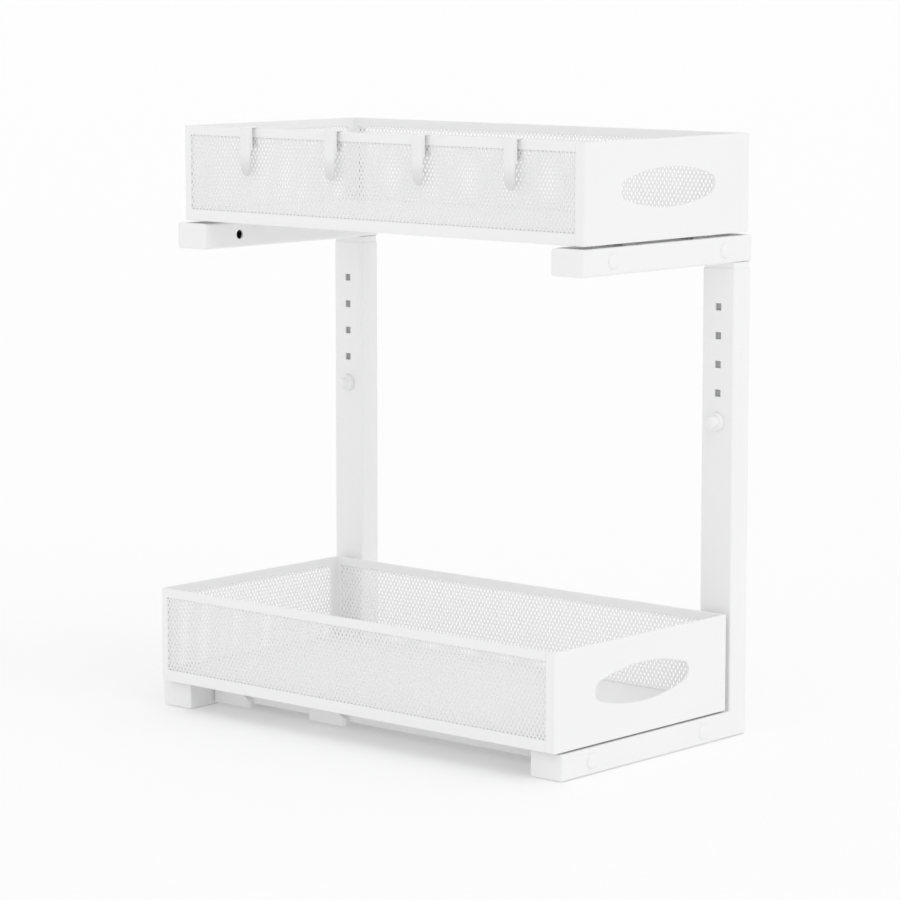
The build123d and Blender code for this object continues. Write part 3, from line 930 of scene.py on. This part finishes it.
def hook_tongue(name, low, high, sizes):
    """The part of a hook outside the basket: rounded rectangles from the tip up to the crown.

    The outer face curves inwards below the bend, the back steps forward under the block, the
    tip's half width follows a circle, and the crown's edge is a quarter circle.
    """
    edge = settings().rounds.hook_edge
    crown = np.linspace(0, QUARTER_TURN, CROWN_RINGS)[1:]
    tip = low[2] + sizes.tip_height * (1 - np.cos(np.linspace(0, QUARTER_TURN, TIP_RINGS)))
    shaft = np.linspace(low[2] + sizes.tip_height, high[2] - edge, SHAFT_RINGS)[1:]
    height = np.concatenate([tip, shaft, high[2] - edge + edge * np.sin(crown)])
    inset = np.concatenate([np.zeros(len(tip) + len(shaft)), edge * (1 - np.cos(crown))])
    below = np.clip((low[2] + sizes.bend_height - height) / sizes.bend_height, 0, 1)
    foot = low[2] + sizes.block_foot
    block = eased(height, foot - sizes.block_slope, foot)
    outer = low[0] + sizes.tip_inset * below**2 + inset
    thickness = sizes.tip_thickness + (sizes.root_thickness - sizes.tip_thickness) * (1 - below)
    back = (outer + thickness) * (1 - block) + (low[0] + sizes.block_depth - inset) * block
    share = np.clip((height - low[2]) / sizes.tip_height, 0, 1)
    narrowing = np.sqrt(np.clip(1 - (1 - share) ** 2, NARROWEST**2, 1))
    half_width = (high[1] - low[1]) / 2 * narrowing - inset
    rings = []
    for z, near, far, wide in zip(height, outer, back, half_width):
        thick = (far - near) / 2
        corner = min(edge, thick * ROUNDEST, wide * ROUNDEST)
        flat = rounded_rectangle(thick, wide, corner, CORNER_POINTS)
        middle = (near + far) / 2, (low[1] + high[1]) / 2
        rings.append(np.column_stack([flat + middle, np.full(len(flat), z)]))
    return stacked(name, np.array(rings))


def hook_bridge(name, low, high, rim_top, sizes):
    """The part of a hook over and inside the rim: a rounded rectangle along a bent line."""
    edge = settings().rounds.hook_edge
    half = sizes.sheet / 2
    wide = (high[1] - low[1]) / 2 - sizes.bridge_inset
    top = high[2] - half - sizes.bridge_drop
    path = rounded_path(
        [
            (high[0] - half, rim_top - sizes.inner_leg),
            (high[0] - half, top),
            (low[0] + sizes.block_depth / 2, top),
        ],
        [half + edge / 2],
    )
    along = np.gradient(path, axis=0)
    along /= np.linalg.norm(along, axis=1)[:, None]
    flat = rounded_rectangle(half, wide, min(edge, half * ROUNDEST), CORNER_POINTS)
    x = path[:, :1] + flat[None, :, 0] * along[:, 1:]
    z = path[:, 1:] - flat[None, :, 0] * along[:, :1]
    y = np.broadcast_to((low[1] + high[1]) / 2 + flat[None, :, 1], x.shape)
    return stacked(name, np.stack([x, y, z], -1))


class ORGANIZER_OT_side_hooks(Operator):
    """Mould the hooks that hang over the upper basket's side rim"""

    bl_idname = "organizer.side_hooks"
    bl_label = "Side Hooks"

    sheet: length("Sheet", "Thickness of the bridge and the inner leg", 0.0014)
    inner_leg: length("Inner Leg", "Length of the leg inside the basket", 0.0140)
    bridge_drop: length("Bridge Drop", "How much lower the bridge lies than the crown", 0.00006)
    bridge_inset: length("Bridge Inset", "How much narrower the bridge is on each side", 0.00003)
    block_depth: length("Block Depth", "Depth of the thick upper part", 0.0049)
    block_foot: length("Block Foot", "Height of the thick part's foot over the tip", 0.0205)
    block_slope: length("Block Slope", "Height of the slope under the thick part", 0.0040)
    root_thickness: length("Root Thickness", "Thickness of the tongue under the block", 0.0029)
    tip_thickness: length("Tip Thickness", "Thickness of the tongue at its tip", 0.0019)
    tip_inset: length("Tip Inset", "How far the tip curves towards the basket", 0.0018)
    tip_rise: length("Tip Rise", "Height of the round tip over the packed hook's foot", 0.0010)
    tip_height: length("Tip Height", "Height of the round tip", 0.0050)
    bend_height: length("Bend Height", "Height over the tip where the curve starts", 0.0190)

    def execute(self, context):
        rim_top = box_of("upper_basket_frame")[1][2]
        for node in HOOKS:
            low, high = box_of(node)
            low[2] += self.tip_rise
            tongue = hook_tongue(f"{node}_tongue", low, high, self)
            bridge = hook_bridge(f"{node}_bridge", low, high, rim_top, self)
            stand_for(joined(f"{node}_moulding", [tongue, bridge]), node)
        return {"FINISHED"}


FLOOR_REACH = 40.0
WHITE = (1.0, 1.0, 1.0, 1.0)


def make_floor(tint, painted_glow):
    """A wide pale floor with a painted glow of its own, which lifts the shadows on it and lights
    the object a little from below.
    """
    points = FLOOR_REACH * np.array([(-1, -1, 0), (1, -1, 0), (1, 1, 0), (-1, 1, 0)])
    floor = new_piece("floor", points, [[0, 1, 2, 3]])
    material, shader = new_material("floor paint")
    shader.finish(
        {
            "Base Color": shade(tint, 1.0),
            "Roughness": 0.9,
            "Specular IOR Level": 0.1,
            "Emission Color": WHITE,
            "Emission Strength": painted_glow,
        }
    )
    floor.data.materials.append(material)


def make_world(tint, fill):
    """Even light from all round. Camera, glossy and transmitted rays see the backdrop's colour."""
    world = bpy.data.worlds.new("studio")
    world.use_nodes = True
    bpy.context.scene.world = world
    shader = Shader(world.node_tree)
    camera, glossy, transmitted = (
        shader.node("ShaderNodeLightPath", {}, {}, f"Is {ray} Ray")
        for ray in ("Camera", "Glossy", "Transmission")
    )
    light = shader.node("ShaderNodeBackground", {}, {"Color": WHITE, "Strength": fill})
    sockets = {"Color": shade(tint, 1.0), "Strength": 1.0}
    backdrop = shader.node("ShaderNodeBackground", {}, sockets)
    sockets = {0: camera + glossy + transmitted, 1: light, 2: backdrop}
    mixed = shader.node("ShaderNodeMixShader", {}, sockets)
    shader.node("ShaderNodeOutputWorld", {}, {"Surface": mixed})


def add_sun(name, strength, spread, place):
    """A lamp as far as the sun, with soft edges, that shines from a direction."""
    data = bpy.data.lights.new(name, "SUN")
    data.energy = strength
    data.angle = spread
    lamp = bpy.data.objects.new(name, data)
    bpy.context.scene.collection.objects.link(lamp)
    lamp.rotation_mode = "QUATERNION"
    lamp.rotation_quaternion = Vector(place).to_track_quat("Z", "Y")


SENSOR_WIDTH = 36.0


class ORGANIZER_OT_stage(Operator):
    """Set the floor, the backdrop, the lamps and the camera"""

    bl_idname = "organizer.stage"
    bl_label = "Stage"

    def execute(self, context):
        stage = settings().stage
        make_floor(stage.floor, stage.floor_glow)
        make_world(stage.backdrop, stage.fill)
        add_sun("key lamp", stage.key, stage.key_spread, stage.key_place)
        add_sun("low lamp", stage.low, stage.low_spread, stage.low_place)
        heading, slope = stage.azimuth, stage.elevation
        right = math.cos(heading) * X_AXIS + math.sin(heading) * Y_AXIS
        level = math.sin(heading) * X_AXIS - math.cos(heading) * Y_AXIS
        back = math.cos(slope) * level + math.sin(slope) * Z_AXIS
        up = np.cross(back, right)
        data = bpy.data.cameras.new("camera")
        data.sensor_width = SENSOR_WIDTH
        data.lens = stage.lens
        data.clip_start = 0.01
        data.clip_end = 200.0
        camera = bpy.data.objects.new("camera", data)
        bpy.context.scene.collection.objects.link(camera)
        turned = Matrix(np.stack([right, up, back], 1).tolist()).to_4x4()
        camera.matrix_world = Matrix.Translation(stage.camera_place) @ turned
        context.scene.camera = camera
        context.scene.view_settings.view_transform = "Standard"
        return {"FINISHED"}


class OrganizerSettings(PropertyGroup):
    """All settings of the organizer."""

    nets: PointerProperty(type=NetSizes)
    rounds: PointerProperty(type=RoundSizes)
    holes: PointerProperty(type=HoleShadeMarks)
    hooks: PointerProperty(type=HookShade)
    colours: PointerProperty(type=FinishColours)
    stage: PointerProperty(type=StageSettings)


OPERATORS = (
    ORGANIZER_OT_tube_frames,
    ORGANIZER_OT_basket_shells,
    ORGANIZER_OT_nets,
    ORGANIZER_OT_lock_knobs,
    ORGANIZER_OT_domes,
    ORGANIZER_OT_end_caps,
    ORGANIZER_OT_runners,
    ORGANIZER_OT_side_hooks,
    ORGANIZER_OT_stage,
)


class ORGANIZER_PT_looks(Panel):
    """Lists the organizer's settings and its operators."""

    bl_label = "Under Sink Organizer"
    bl_idname = "ORGANIZER_PT_looks"
    bl_space_type = "VIEW_3D"
    bl_region_type = "UI"
    bl_category = "Organizer"

    def draw(self, context):
        for title in settings().bl_rna.properties.keys():
            if title not in ("rna_type", "name"):
                group = getattr(settings(), title)
                box = self.layout.box()
                for name in group.bl_rna.properties.keys():
                    if name not in ("rna_type", "name"):
                        box.prop(group, name)
        for operator in OPERATORS:
            self.layout.operator(operator.bl_idname)


CLASSES = (
    NetSizes,
    RoundSizes,
    HoleShadeMarks,
    HookShade,
    FinishColours,
    StageSettings,
    OrganizerSettings,
    *OPERATORS,
    ORGANIZER_PT_looks,
)


def register():
    """Adds the classes and the scene's settings."""
    for kind in CLASSES:
        bpy.utils.register_class(kind)
    bpy.types.Scene.organizer = PointerProperty(type=OrganizerSettings)


def unregister():
    """Takes the classes and the scene's settings away."""
    del bpy.types.Scene.organizer
    for kind in reversed(CLASSES):
        bpy.utils.unregister_class(kind)


def main():
    """Makes all pieces and the stage."""
    register()
    for operator in OPERATORS:
        group, name = operator.bl_idname.split(".")
        getattr(getattr(bpy.ops, group), name)()


if __name__ == "__main__":
    main()
